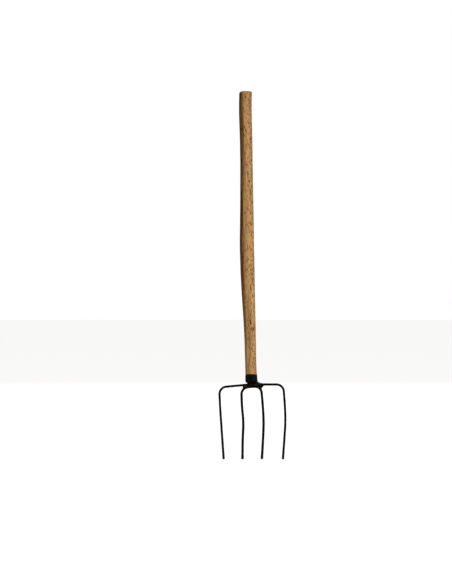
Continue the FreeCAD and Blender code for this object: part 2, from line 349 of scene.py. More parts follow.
def beechMaterial(look):
    material, tree, shader, place = newMaterial("oiledWhittledBeech")
    axes = grainAxes(look)
    bandRoom = (look["bandWidth"], look["bandWidth"], look["bandLength"])
    bands = addNode(tree, "ShaderNodeTexNoise", {
        "Vector": along(tree, place, axes, bandRoom), "Scale": 1.0, "Detail": 2})
    bandMask = addNode(tree, "ShaderNodeMapRange", {
        "Value": bands, "From Min": 0.44, "From Max": 0.57})
    # growth rings: the distance from a pith that lies well behind the stick, along the rays
    ringRoom = (look["ringSpacing"] * 8, look["ringSpacing"], look["ringSpacing"] * 30)
    ringPlace = along(tree, place, axes, ringRoom)
    rings = addNode(tree, "ShaderNodeTexWave", {
        "Vector": ringPlace, "Scale": 0.159, "Distortion": 2.2, "Detail": 2,
        "Detail Scale": 0.5}, wave_type="BANDS", bands_direction="Y", wave_profile="SAW")
    ringMask = addNode(tree, "ShaderNodeMapRange", {
        "Value": rings, "From Min": 0.55, "From Max": 1.0, "To Max": 0.45})
    grainRoom = (look["grainWidth"], look["grainWidth"], look["grainLength"])
    grain = addNode(tree, "ShaderNodeTexNoise", {
        "Vector": along(tree, place, axes, grainRoom), "Scale": 1.0, "Detail": 3,
        "Roughness": 0.65})
    grainMask = addNode(tree, "ShaderNodeMapRange", {
        "Value": grain, "From Min": 0.5, "From Max": 0.78, "To Max": 0.6})
    side = addNode(tree, "ShaderNodeAttribute", attribute_name="rayFace").outputs["Fac"]
    # painted shade and grey sheen on that side, growing darker up the stick
    height = addNode(tree, "ShaderNodeSeparateXYZ", {0: place}).outputs["Z"]
    shadeUpStick = addNode(tree, "ShaderNodeMapRange", {
        "Value": height, "From Min": look["shadeFrom"] * mm, "From Max": look["shadeTo"] * mm,
        "To Min": look["leastSideShade"], "To Max": look["mostSideShade"]})
    sideShadeShare = addNode(tree, "ShaderNodeMath", {0: side, 1: shadeUpStick}, operation="MULTIPLY")
    flecks, specks = rayFlecks(tree, place, look, side)
    speckShare = addNode(tree, "ShaderNodeMath", {
        0: specks, 1: look["speckShare"]}, operation="MULTIPLY")
    worn = addNode(tree, "ShaderNodeMapRange", {
        "Value": grain, "From Min": 0.35, "From Max": 0.6, "To Min": 0.8, "To Max": 1.0})
    fleckShare = addNode(tree, "ShaderNodeMath", {0: flecks, 1: worn}, operation="MULTIPLY")
    soil = addNode(tree, "ShaderNodeMapRange", {
        "Value": height, "From Min": look["soiledFrom"] * mm,
        "From Max": look["soiledTo"] * mm, "To Max": look["mostSoiled"]})
    # the cuts and pin knots that the mesh itself carries: painted shade in them, darker the
    # deeper they go, with the knots' dark wood
    cuts = addNode(tree, "ShaderNodeAttribute", attribute_name="cut").outputs["Fac"]
    cutShadeMask = addNode(tree, "ShaderNodeMapRange", {
        "Value": cuts, "From Min": 0.1, "From Max": 0.55, "To Max": 0.85})
    pitShadeMask = addNode(tree, "ShaderNodeMapRange", {
        "Value": cuts, "From Min": 0.6, "From Max": 1.0})
    # each tint lies over those before it, as far as its mask lets it show
    colour = linearColour(look["ruddy"])
    for mask, tint in (
            (bandMask, "pale"), (ringMask, "olive"), (grainMask, "brown"),
            (sideShadeShare, "sideShade"), (speckShare, "speck"), (fleckShare, "brown"),
            (soil, "brown"), (cutShadeMask, "brown"), (pitShadeMask, "black")):
        layer = addNode(tree, "ShaderNodeMix", {
            "Factor": mask, "A": colour, "B": linearColour(look[tint])}, data_type="RGBA")
        colour = layer.outputs[2]
    gloss = addNode(tree, "ShaderNodeMapRange", {
        "Value": grain, "From Min": 0.3, "From Max": 0.7,
        "To Min": look["roughness"] - 0.1, "To Max": look["roughness"] + 0.12})
    grainBump = addNode(tree, "ShaderNodeBump", {
        "Height": grain, "Distance": look["grainDepth"] * mm})
    fleckBump = addNode(tree, "ShaderNodeBump", {
        "Height": flecks, "Distance": look["fleckDepth"] * mm,
        "Normal": grainBump}, invert=True)
    linkInputs(tree, shader, {
        "Base Color": colour, "Roughness": gloss, "Normal": fleckBump,
        "Specular IOR Level": look["specular"]})
    return material


# Drawn mild steel, left bare: grey, with fine scratches along the rod.
bareSteel = {
    "light": "#B9B6B0",
    "dark": "#7E7A74",
    "scratchWidth": 0.08,  # mm, drawn coarser than the die leaves them
    "scratchLength": 3,  # mm
    "scratchDepth": 0.004,  # mm
}


def steelMaterial(look):
    material, tree, shader, place = newMaterial("bareDrawnSteel")
    room = (look["scratchWidth"], look["scratchWidth"], look["scratchLength"])
    axes = (Vector((1, 0, 0)), Vector((0, 1, 0)), Vector((0, 0, 1)))
    scratches = addNode(tree, "ShaderNodeTexNoise", {
        "Vector": along(tree, place, axes, room), "Scale": 1.0, "Detail": 3})
    colour = addNode(tree, "ShaderNodeMix", {
        "Factor": scratches, "A": linearColour(look["dark"]), "B": linearColour(look["light"]),
    }, data_type="RGBA")
    gloss = addNode(tree, "ShaderNodeMapRange", {
        "Value": scratches, "To Min": 0.25, "To Max": 0.45})
    bump = addNode(tree, "ShaderNodeBump", {
        "Height": scratches, "Distance": look["scratchDepth"] * mm})
    linkInputs(tree, shader, {
        "Base Color": colour.outputs[2], "Roughness": gloss, "Normal": bump,
        "Metallic": 1.0})
    return material


# Epoxy adhesive, poured and set: honey coloured, a little cloudy, with pinprick bubbles.
setEpoxy = {
    "clear": "#B98B45",
    "cloudy": "#D8C08C",
    "cloudSize": 1.6,  # mm
    "bubbleSize": 0.35,  # mm
    "bubbleDepth": 0.03,  # mm
}


def epoxyMaterial(look):
    material, tree, shader, place = newMaterial("pouredEpoxy")
    clouds = addNode(tree, "ShaderNodeTexNoise", {
        "Vector": place, "Scale": 1 / (look["cloudSize"] * mm), "Detail": 3})
    colour = addNode(tree, "ShaderNodeMix", {
        "Factor": clouds, "A": linearColour(look["clear"]), "B": linearColour(look["cloudy"]),
    }, data_type="RGBA")
    gloss = addNode(tree, "ShaderNodeMapRange", {"Value": clouds, "To Min": 0.3, "To Max": 0.5})
    bubbles = addNode(tree, "ShaderNodeTexVoronoi", {
        "Vector": place, "Scale": 1 / (look["bubbleSize"] * mm)})
    bump = addNode(tree, "ShaderNodeBump", {
        "Height": bubbles, "Distance": look["bubbleDepth"] * mm})
    linkInputs(tree, shader, {
        "Base Color": colour.outputs[2], "Roughness": gloss, "Normal": bump})
    return material


dippedEnamel = enamelMaterial("dippedBlackEnamel", enamel)
filledEnamel = enamelMaterial("blackEnamelOverWeld", weldEnamel)
whittledBeech = beechMaterial(beech)
print("materials made")


# The bent wires

wire = {
    "seeds": {"outer_bow": 3.0, "inner_bow": 8.0},
    "traceStep": 0.5,  # mm, along the CAD wire
    "traceReach": 1.2,  # mm, round the line, in which points belong to this wire
    "tipDepth": 0.6,  # mm, of the stretch that the first point is taken from
    "leastWhole": 0.97,  # of the wire's radius, under which the end is turning in
    "spacing": 0.11,  # mm, between the rings of the enamelled wire
    "sides": 28,
    "bluntness": 2.8,  # of the tips: 2 is a ball end, more is blunter
    "dripSwell": 0.09,  # share that the enamel adds at the tips, where it ran and set
    "dripLength": 2.2,  # mm
    "swellShare": 0.05,  # slow thick and thin places along the wire
    "swellLength": 6.5,  # mm
    "lumpSize": 1.1,  # mm
    "lumpHeight": 0.03,  # mm
    "sagDepth": {"outer_bow": 0.05, "inner_bow": 0.17},  # mm, of the bar where it was welded
    "sagPlace": -2.3,  # mm, its middle
    "sagHalf": 2.2,  # mm
    "barFrom": 30,  # mm up, over which a bow is its bar
}


def wireLine(node):
    # follows a bow from its left tip up, along its bar and down, ring by ring
    surface = surfaceOf(node)
    points = surface[0]
    tip = points[(points[:, 2] < wire["tipDepth"] * mm) & (points[:, 0] < 0)]
    place, way = tip.mean(0) + up * mm, up
    middles, radii = [], []
    while True:
        hits = crossing(surface, place, way)
        near = hits[np.linalg.norm(hits - place, axis=1) < wire["traceReach"] * mm]
        if len(near) < 8:  # past the far tip
            break
        middle, radius = fitCircle(near, way)
        if middles:
            way = (middle - middles[-1]) / np.linalg.norm(middle - middles[-1])
        middles.append(middle)
        radii.append(radius)
        place = middle + way * wire["traceStep"] * mm
    radius = float(np.median(radii))
    return [m for m, r in zip(middles, radii) if r > wire["leastWhole"] * radius], radius


def reachTip(inner, last, radius):
    # carries the line on to where the wire's blunt end touches the floor
    way = (last - inner) / np.linalg.norm(last - inner)
    ballMiddle = last + way * (last[2] - radius) / -way[2]
    return ballMiddle + way * radius * 0.95


def dippedWireTree():
    # a wire along a line, thickened by enamel: slow swellings, blunt dripping tips, small lumps
    tree, given = newTree("dippedWire", (
        "Radius", "Spacing", "Sides", "Bluntness", "Drip Swell", "Drip Length", "Swell Share",
        "Swell Length", "Lump Size", "Lump Height"), Sides="Int")
    line = addNode(tree, "GeometryNodeMeshToCurve", {0: given["Geometry"]})
    rings = addNode(tree, "GeometryNodeResampleCurve", {
        "Curve": line, "Length": given["Spacing"]}, mode="LENGTH")
    here = addNode(tree, "GeometryNodeSplineParameter").outputs["Length"]
    whole = addNode(tree, "GeometryNodeSplineLength").outputs["Length"]
    rest = addNode(tree, "ShaderNodeMath", {0: whole, 1: here}, operation="SUBTRACT")
    fromTip = addNode(tree, "ShaderNodeMath", {0: here, 1: rest}, operation="MINIMUM")
    # the end's profile: (1 - (1 - d)^p)^(1/p), with d from the tip in radii
    inRadii = addNode(tree, "ShaderNodeMath", {
        0: fromTip, 1: given["Radius"]}, operation="DIVIDE", use_clamp=True)
    short = addNode(tree, "ShaderNodeMath", {0: 1.0, 1: inRadii}, operation="SUBTRACT")
    raised = addNode(tree, "ShaderNodeMath", {
        0: short, 1: given["Bluntness"]}, operation="POWER")
    left = addNode(tree, "ShaderNodeMath", {0: 1.002, 1: raised}, operation="SUBTRACT")
    root = addNode(tree, "ShaderNodeMath", {0: 1.0, 1: given["Bluntness"]}, operation="DIVIDE")
    cap = addNode(tree, "ShaderNodeMath", {0: left, 1: root}, operation="POWER")
    # the drip: fades out up the wire
    fade = addNode(tree, "ShaderNodeMath", {
        0: fromTip, 1: given["Drip Length"]}, operation="DIVIDE")
    falling = addNode(tree, "ShaderNodeMath", {0: 0.37, 1: fade}, operation="POWER")
    drip = addNode(tree, "ShaderNodeMath", {
        0: falling, 1: given["Drip Swell"], 2: 1.0}, operation="MULTIPLY_ADD")
    # thick and thin places
    away = addNode(tree, "ShaderNodeMath", {
        0: here, 1: given["Swell Length"]}, operation="DIVIDE")
    seeded = addNode(tree, "ShaderNodeCombineXYZ", {0: given["Seed"]})
    slow = addNode(tree, "ShaderNodeTexNoise", {
        "W": away, "Vector": seeded, "Scale": 1.0, "Detail": 1}, noise_dimensions="4D")
    swell = addNode(tree, "ShaderNodeMath", {
        0: aboutMiddle(tree, slow, 2.0), 1: given["Swell Share"], 2: 1.0},
        operation="MULTIPLY_ADD")
    radius = cap
    for factor in (drip, swell, given["Radius"]):
        radius = addNode(tree, "ShaderNodeMath", {0: radius, 1: factor}, operation="MULTIPLY")
    section = addNode(tree, "GeometryNodeCurvePrimitiveCircle", {
        "Resolution": given["Sides"], "Radius": 1.0})
    tube = addNode(tree, "GeometryNodeCurveToMesh", {
        "Curve": rings, "Profile Curve": section, "Scale": radius, "Fill Caps": True})
    lumpy = addLumps(tree, tube, given["Lump Size"], given["Lump Height"], given["Seed"])
    endTree(tree, lumpy, given["Material"])
    return tree


def makeBow(node, seed, tree):
    line, radius = wireLine(node)
    for point in line:
        off = (point[0] / mm - wire["sagPlace"]) / wire["sagHalf"]
        if point[2] > wire["barFrom"] * mm:
            point[2] -= wire["sagDepth"][node] * mm * math.exp(-off * off)
    line.insert(0, reachTip(line[3], line[0], radius))
    line.append(reachTip(line[-4], line[-1], radius))
    edges = [(i, i + 1) for i in range(len(line) - 1)]
    piece = runTree("dipped_" + node, meshFrom(node + "_line", line, edges=edges), tree, {
        "Radius": radius, "Spacing": wire["spacing"] * mm, "Sides": wire["sides"],
        "Bluntness": wire["bluntness"], "Drip Swell": wire["dripSwell"],
        "Drip Length": wire["dripLength"] * mm, "Swell Share": wire["swellShare"],
        "Swell Length": wire["swellLength"] * mm, "Lump Size": wire["lumpSize"] * mm,
        "Lump Height": wire["lumpHeight"] * mm, "Seed": seed, "Material": dippedEnamel})
    settle(piece, node)
    print(node, "follows", len(line), "points, and is", round(radius / mm, 3), "mm in radius")


wireTree = dippedWireTree()
for node, seed in wire["seeds"].items():
    makeBow(node, seed, wireTree)


# The welds

weld = {
    "seed": 2.0,  # of the first weld; the others count on from it
    "joinWithin": 0.0005,  # mm, so that the CAD weld's faces share their corners
    "voxel": 0.075,  # mm
    "smoothing": 16,
    "skin": {"weld_bead_front": 0.08, "weld_bead_back": 0.08, "weld_web_left": 0.06,
             "weld_web_right": 0.0, "neck_weld": 0.1},  # mm, of enamel over each weld
    "rippleSpacing": 0.95,  # mm, between one puddle's edge and the next
    "rippleHeight": 0.035,  # mm
    "rippleBow": 0.35,  # mm that a ripple bows, a millimetre off the middle
    "rippleStray": 1.6,  # spacings by which a ripple may run off its line
    "lumpSize": 1.5,  # mm
    "lumpHeight": 0.3,  # mm
}


def weldTree():
    # melts a plain CAD weld into one soft lump, with the ripples of its puddles across it
    tree, given = newTree("rippledWeld", (
        "Voxel", "Smoothing", "Skin", "Ripple Spacing", "Ripple Height", "Ripple Stray",
        "Lump Size", "Lump Height"), Smoothing="Int")
    # volumes work in millimetres here, because a fork in metres is too small for their grid
    large = addNode(tree, "GeometryNodeTransform", {
        "Geometry": given["Geometry"], "Scale": (1 / mm,) * 3})
    grid = addNode(tree, "GeometryNodeMeshToVolume", {
        "Mesh": large, "Voxel Size": given["Voxel"], "Interior Band Width": 0.2,
        "Density": 1.0}, resolution_mode="VOXEL_SIZE")
    skin = addNode(tree, "GeometryNodeVolumeToMesh", {"Volume": grid, "Threshold": 0.1})
    place = addNode(tree, "GeometryNodeInputPosition")
    blurred = addNode(tree, "GeometryNodeBlurAttribute", {
        0: place, "Iterations": given["Smoothing"]}, data_type="FLOAT_VECTOR")
    melted = addNode(tree, "GeometryNodeSetPosition", {"Geometry": skin, "Position": blurred})
    parts = addNode(tree, "ShaderNodeSeparateXYZ", {0: place})
    # each ripple is bowed, because the puddle's rear edge is round
    deep = addNode(tree, "ShaderNodeMath", {
        0: parts.outputs["Y"], 1: parts.outputs["Y"]}, operation="MULTIPLY")
    bowed = addNode(tree, "ShaderNodeMath", {
        0: deep, 1: weld["rippleBow"], 2: parts.outputs["X"]}, operation="MULTIPLY_ADD")
    turns = addNode(tree, "ShaderNodeMath", {
        0: bowed, 1: given["Ripple Spacing"]}, operation="DIVIDE")
    stray = addNode(tree, "ShaderNodeTexNoise", {
        "Vector": place, "W": given["Seed"], "Scale": 0.6, "Detail": 1},
        noise_dimensions="4D")
    strayed = addNode(tree, "ShaderNodeMath", {
        0: stray, 1: given["Ripple Stray"], 2: turns}, operation="MULTIPLY_ADD")
    phase = addNode(tree, "ShaderNodeMath", {0: strayed, 1: 2 * math.pi}, operation="MULTIPLY")
    wave = addNode(tree, "ShaderNodeMath", {0: phase}, operation="SINE")
    ripple = addNode(tree, "ShaderNodeMath", {
        0: wave, 1: given["Ripple Height"], 2: given["Skin"]}, operation="MULTIPLY_ADD")
    rippled = pushOut(tree, melted, ripple)
    lumpy = addLumps(tree, rippled, given["Lump Size"], given["Lump Height"], given["Seed"])
    small = addNode(tree, "GeometryNodeTransform", {"Geometry": lumpy, "Scale": (mm,) * 3})
    endTree(tree, small, given["Material"])
    return tree


def dropCrumbs(mesh):
    # keeps the weld's one sound body, without the crumbs that its thinnest edges leave
    work = bmesh.new()
    work.from_mesh(mesh)
    seen, bodies = set(), []
    for start in work.verts:
        body, waiting = [], [start]
        while waiting:
            vert = waiting.pop()
            if vert.index not in seen:
                seen.add(vert.index)
                body.append(vert)
                waiting += [edge.other_vert(vert) for edge in vert.link_edges]
        bodies.append(body)
    crumbs = [vert for body in sorted(bodies, key=len)[:-1] for vert in body]
    bmesh.ops.delete(work, geom=crumbs, context="VERTS")
    work.to_mesh(mesh)
    work.free()


def makeWeld(node, seed, tree):
    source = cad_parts[node].data.copy()
    joined = bmesh.new()
    joined.from_mesh(source)
    bmesh.ops.remove_doubles(joined, verts=joined.verts, dist=weld["joinWithin"] * mm)
    joined.to_mesh(source)
    joined.free()
    piece = runTree("dipped_" + node, source, tree, {
        "Voxel": weld["voxel"], "Smoothing": weld["smoothing"], "Skin": weld["skin"][node],
        "Ripple Spacing": weld["rippleSpacing"], "Ripple Height": weld["rippleHeight"],
        "Ripple Stray": weld["rippleStray"], "Lump Size": weld["lumpSize"],
        "Lump Height": weld["lumpHeight"], "Seed": seed, "Material": filledEnamel})
    dropCrumbs(piece.data)
    settle(piece, node)
    print(node, "has", len(piece.data.polygons), "faces")


rippledWeld = weldTree()
for number, node in enumerate(weld["skin"]):
    makeWeld(node, weld["seed"] + number, rippledWeld)


# The ferrule

ferrule = {
    "seed": 5.0,
    "sides": 96,
    "floorRound": 1.5,  # mm, outside, where the wall turns in to the floor
    "floorFlat": 0.6,  # mm, the outermost band of the flat floor
    "rimRound": 0.12,  # mm
    "peakRise": 0.35,  # mm, of the rim's front and back over the CAD rim
    "sideDrop": 0.25,  # mm, of its two sides below it
    "flare": 0.32,  # mm, where the neck weld draws it out at the lower right
    "lumpSize": 3.0,  # mm
    "lumpHeight": 0.09,  # mm
}


def ferruleProfile():
    # one round trip of radius and height: under the floor, up outside, down inside, the hole
    low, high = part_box("ferrule")
    surface = surfaceOf("ferrule")
    middle = np.array(((low.x + high.x) / 2, (low.y + high.y) / 2, 0.0))

    def reach(height):
        hits = crossing(surface, np.array((0.0, 0.0, height)), up)
        spans = np.linalg.norm((hits - middle)[:, :2], axis=1)
        return spans.min(), spans.max()

    inner, outer = reach(high.z - 1 * mm)
    hole = reach(low.z + 0.1 * mm)[0]
    wall = outer - inner
    levels = np.arange(low.z + 0.1 * mm, high.z, 0.02 * mm)
    floor = next(z for z in levels if reach(z)[0] > hole * 1.05)
    edge = ferrule["floorRound"] * mm
    turns = [math.radians(a) for a in range(0, 91, 9)]
    profile = [(hole, low.z), (outer - edge - ferrule["floorFlat"] * mm, low.z)]
    profile += [(outer - edge + edge * math.sin(t), low.z + edge - edge * math.cos(t))
                for t in turns]
    rim = ferrule["rimRound"] * mm
    profile += [(outer, z) for z in np.linspace(low.z + edge, high.z - rim, 14)[1:-1]]
    profile += [(outer - rim + rim * math.cos(t), high.z - rim + rim * math.sin(t))
                for t in turns[::2]]
    profile += [(inner + rim - rim * math.cos(t), high.z - rim + rim * math.sin(t))
                for t in turns[::-2]]
    bend = edge - wall
    profile += [(inner, z) for z in np.linspace(high.z - rim, floor + bend, 10)[1:-1]]
    profile += [(inner - bend + bend * math.cos(t), floor + bend - bend * math.sin(t))
                for t in turns]
    profile += [(hole, floor)]
    return profile, middle, low.z, high.z


def makeFerrule():
    profile, middle, bottom, top = ferruleProfile()
    sides = ferrule["sides"]
    points = []
    for radius, height in profile:
        upShare = (height - bottom) / (top - bottom)
        for i in range(sides):
            angle = 2 * math.pi * i / sides
            # the rim rises to a low peak at the front and at the back
            fromSide = abs(math.sin(angle))
            lift = ferrule["peakRise"] * fromSide ** 1.5 - ferrule["sideDrop"] * (1 - fromSide)
            drawn = max(0.0, math.cos(angle)) ** 2 * (1 - upShare) ** 1.5
            spread = radius + ferrule["flare"] * mm * drawn
            points.append((middle[0] + spread * math.cos(angle),
                           middle[1] + spread * math.sin(angle),
                           height + lift * mm * upShare ** 4))
    faces = ringFaces(len(profile), sides, closed=True)
    tree, given = newTree("enamelledSheet", ("Lump Size", "Lump Height"))
    lumpy = addLumps(tree, given["Geometry"], given["Lump Size"], given["Lump Height"],
                     given["Seed"])
    endTree(tree, lumpy, given["Material"])
    piece = runTree("dipped_ferrule", meshFrom("ferrule_blank", points, faces), tree, {
        "Lump Size": ferrule["lumpSize"] * mm, "Lump Height": ferrule["lumpHeight"] * mm,
        "Seed": ferrule["seed"], "Material": dippedEnamel})
    settle(piece, "ferrule")
    print("ferrule has", len(piece.data.polygons), "faces")


makeFerrule()


# The handle

handle = {
    "seed": 4.0,
    "sides": 128,
    "ringSpacing": 0.26,  # mm
    "sectionSpacing": 1.5,  # mm, between the sections measured on the CAD handle
    "topRings": 9,
    "topRound": (1.35, 0.55),  # mm, of the worn top edge on the left and on the right
    "facets": 9,
    "facetDepth": 0.085,  # mm
    "facetDrift": 34,  # mm, over which a facet wanders off its line
    "waveLength": 9,  # mm
    "waveDepth": 0.09,  # mm
    "chatterRoom": (2.4, 2.4, 1.1),  # mm, the knife's small ridges, across the grain
    "chatterDepth": 0.16,  # mm
    "freeOver": 1.2,  # mm over the ferrule's rim, up which the knife's marks grow
    "cutSharpness": 0.6,  # of the edges of a cut's painted shade
    "cutTaper": 0.6,  # share of its width that a cut loses at its ends
    "fullShadeDepth": 0.32,  # mm, from which a cut's painted shade is darkest
    "leastDark": 0.08,
    "flatFade": 9,  # mm, over which a flat runs out
    "flatEdge": 0.04,  # mm, how softly its edges turn
}

# Open slits and pin knots, listed one by one: height of each end above the tine tips (mm), its
# angle right of the front (degrees), width (mm) and depth (mm). A pit is a slit with no length.
slits = (
    ((196.1, -15), (193.1, -15), 0.5, 0.10),
    ((190.9, 39), (189.7, 50), 0.7, 0.16),
    ((186.8, 46), (185.8, 48), 0.6, 0.12),
    ((185.9, -7), (184.0, -7), 0.5, 0.08),
    ((174.1, 44), (173.3, 46), 0.9, 0.38),
    ((164.4, 13), (162.6, 12), 0.5, 0.10),
    ((160.6, 46), (159.7, 37), 0.6, 0.16),
    ((156.9, 8), (153.1, 12), 0.6, 0.18),
    ((151.0, -11), (149.5, -7), 0.5, 0.10),
    ((147.7, 23), (143.4, 50), 0.6, 0.18),
    ((128.3, 27), (126.6, 48), 0.5, 0.13),
    ((125.8, 9), (123.9, 19), 0.5, 0.12),
    ((123.5, 43), (122.6, 45), 0.6, 0.16),
    ((116.8, 1), (113.9, 7), 0.6, 0.17),
    ((106.1, 25), (104.8, 34), 0.6, 0.16),
    ((102.3, 2), (101.0, 3), 0.5, 0.10),
    ((101.2, 34), (99.7, 47), 0.6, 0.17),
    ((94.6, 16), (90.8, 33), 0.5, 0.15),
    ((79.3, 9), (77.2, 8), 0.5, 0.12),
    ((74.1, 7), (73.2, 8), 0.9, 0.38),
    ((71.9, 14), (68.6, 29), 0.6, 0.17),
    ((61.0, 8), (59.0, 21), 0.6, 0.16),
    ((168.0, 150), (163.0, 157), 0.5, 0.14),
    ((141.0, 200), (137.5, 196), 0.6, 0.15),
    ((118.0, 118), (114.5, 127), 0.5, 0.14),
    ((96.0, 232), (92.5, 240), 0.5, 0.15),
    ((83.0, 170), (82.3, 171), 0.8, 0.30),
    ((66.0, 142), (62.5, 138), 0.5, 0.13),
)

# Flats that the knife left, listed one by one: from one height to another (mm), the side it
# faces (degrees right of the front) and how deep it is cut into the round stick (mm).
flats = (
    (47, 90, -18, 0.16),
    (88, 146, -60, 0.16),
    (140, 199, -42, 0.16),
    (52, 118, 152, 0.28),
    (104, 199, 214, 0.24),
    (60, 150, 96, 0.18),
)


def handleSections():
    # middle and radius of the CAD handle's outside at heights up its length
    low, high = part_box("handle")
    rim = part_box("ferrule")[1].z
    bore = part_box("tang_glue")[1].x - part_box("tang_glue")[0].x
    surface = surfaceOf("handle")
    seatTurn = np.linspace(0.02, 1.3, 9) * mm  # up the seat's rounded lower edge
    straightEnd = high.z - 0.65 * mm  # where the CAD handle's top edge starts to turn in
    tiny = 0.01 * mm
    heights = list(low.z + seatTurn) + list(np.linspace(low.z + 1.5 * mm, rim - tiny, 8))
    count = int((straightEnd - rim) / (handle["sectionSpacing"] * mm))
    heights += list(np.linspace(rim + tiny, straightEnd, count))
    middles, radii = [], []
    for height in heights:
        hits = crossing(surface, np.array((0.0, 0.0, height)), up)
        spread = np.linalg.norm(hits - hits.mean(0), axis=1)
        middle, radius = fitCircle(hits[spread > bore * 0.75], up)
        middles.append(middle)
        radii.append(radius)
    return np.array(heights), np.array(middles), np.array(radii), rim, high.z


def ringHeights(heights, rim, end):
    # the measured heights below the rim, and close ones from there to the worn top edge
    below = [h for h in heights if h < rim]
    start = min(h for h in heights if h > rim)
    count = int((end - start) / (handle["ringSpacing"] * mm))
    return below + list(np.linspace(start, end, count))


def cutField(radius, height, angles):
    # how deep each point of a ring lies in a slit or pit (mm), and the painted shade it gets
    # there, darker the deeper it lies
    depth, dark = np.zeros(len(angles)), np.zeros(len(angles))
    for (topEnd, topAngle), (lowEnd, lowAngle), width, deep in slits:
        if not lowEnd - width < height / mm < topEnd + width:
            continue
        # both ends on the unrolled surface: along it and up it, in mm
        a = np.array((math.radians(topAngle) * radius / mm, topEnd))
        b = np.array((math.radians(lowAngle) * radius / mm, lowEnd))
        turn = (angles + math.pi / 2 + math.pi) % (2 * math.pi) - math.pi
        if abs(topAngle) > 90:
            turn = (angles + math.pi / 2) % (2 * math.pi)
        spots = np.column_stack((turn * radius / mm, np.full(len(angles), height / mm)))
        run = b - a
        share = np.clip((spots - a) @ run / (run @ run), 0, 1)
        off = np.linalg.norm(spots - a - share[:, None] * run, axis=1) / (width / 2)
        taper = 1 - handle["cutTaper"] * np.abs(2 * share - 1) ** 2
        inside = np.clip(1 - (off / taper) ** 2, 0, 1)
        depth = np.maximum(depth, deep * inside)
        darkest = min(1.0, deep / handle["fullShadeDepth"] + handle["leastDark"])
        dark = np.maximum(dark, inside ** handle["cutSharpness"] * darkest)
    return depth, dark


def flatField(radius, height, angles):
    # how deep each point of a ring lies under the round stick, where a flat takes it (mm)
    depth = np.zeros(len(angles))
    for low, high, facing, deep in flats:
        inside = min(height / mm - low, high - height / mm) / handle["flatFade"]
        fade = min(max(inside, 0.0), 1.0)
        fade = fade * fade * (3 - 2 * fade)
        turn = np.cos(angles + math.pi / 2 - math.radians(facing))
        flat = (radius / mm - deep * fade) / np.maximum(turn, 0.3)
        soft = handle["flatEdge"]
        cut = soft * np.log1p(np.exp((radius / mm - flat) / soft)) * fade
        depth = np.maximum(depth, cut)
    return depth


def handleBlank():
    # closed rings: up the seat, out over the ferrule's rim, up the stick, over its top, and
    # from the seat's end up the bore for the tang
    heights, middles, radii, rim, top = handleSections()
    sides = handle["sides"]
    angles = np.arange(sides) * 2 * math.pi / sides
    circle = np.column_stack((np.cos(angles), np.sin(angles), np.zeros(sides)))
    boreLow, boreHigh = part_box("tang_glue")
    boreMiddle = np.array(((boreLow.x + boreHigh.x) / 2, (boreLow.y + boreHigh.y) / 2, 0.0))
    boreRadius = (boreHigh.x - boreLow.x) / 2
    points, dark, free = [], [], []
    across = rayAxes(beech)[0]
    rayFace = np.clip(circle @ np.array(across), 0, 1) ** 2

    def addRing(middle, radius, height, cuts=0.0, shades=0.0, moves=0.0):
        spans = radius - cuts * mm + np.zeros(sides)
        heights = height + np.zeros(sides)
        points.extend(middle * (1, 1, 0) + circle * spans[:, None] + up * heights[:, None])
        dark.extend(shades + np.zeros(sides))
        free.extend([moves] * sides)

    seatEnd = heights[0]
    for height in np.linspace(boreHigh.z, seatEnd, 12):
        addRing(boreMiddle, boreRadius, height)
    for share in (0.25, 0.6):
        addRing(boreMiddle, boreRadius + share * (radii[0] - boreRadius), seatEnd)
    worn = np.interp(np.cos(angles), (-1, 1), handle["topRound"]) * mm
    for height in ringHeights(heights, rim, top - worn.max()):
        middle = np.array([np.interp(height, heights, middles[:, k]) for k in range(3)])
        radius = float(np.interp(height, heights, radii))
        shown = height > rim
        cuts, shades = cutField(radius, height, angles)
        cuts = (cuts + flatField(radius, height, angles)) * shown
        moves = min(1.0, (height - rim) / (handle["freeOver"] * mm)) * shown
        addRing(middle, radius, height, cuts, shades * shown, moves)
    # the worn top edge, turning in further on the left, and the sawn end inside it
    for turn in np.radians(np.arange(0, 91, 10)):
        tall = np.maximum(top - worn * (1 - math.sin(turn)), top - worn.max())
        addRing(middle, radius - worn * (1 - math.cos(turn)), tall, moves=math.cos(turn))
    flat = radius - worn
    for k in range(1, handle["topRings"] + 1):
        share = 1 - k / (handle["topRings"] + 1)
        addRing(middle, flat * share, top)
    rings = len(points) // sides
    faces = ringFaces(rings, sides)
    ends = ((boreMiddle * (1, 1, 0) + up * boreHigh.z, 0, True, 0.0),
            (middle * (1, 1, 0) + up * top, rings - 1, False, 0.0))
    for pole, ring, turned, moves in ends:
        points.append(pole)
        dark.append(0.0)
        free.append(moves)
        for i in range(sides):
            j = (i + 1) % sides
            side = (ring * sides + i, ring * sides + j)
            faces.append((len(points) - 1, *(side[::-1] if turned else side)))
    mesh = meshFrom("handle_blank", points, faces)
    # the painted shade in the cuts, with the pin knots' dark wood
    mesh.attributes.new("cut", "FLOAT", "POINT").data.foreach_set("value", dark)
    mesh.attributes.new("free", "FLOAT", "POINT").data.foreach_set("value", free)
    facing = list(rayFace) * rings + [0.5, 0.5]
    mesh.attributes.new("rayFace", "FLOAT", "POINT").data.foreach_set("value", facing)
    return mesh


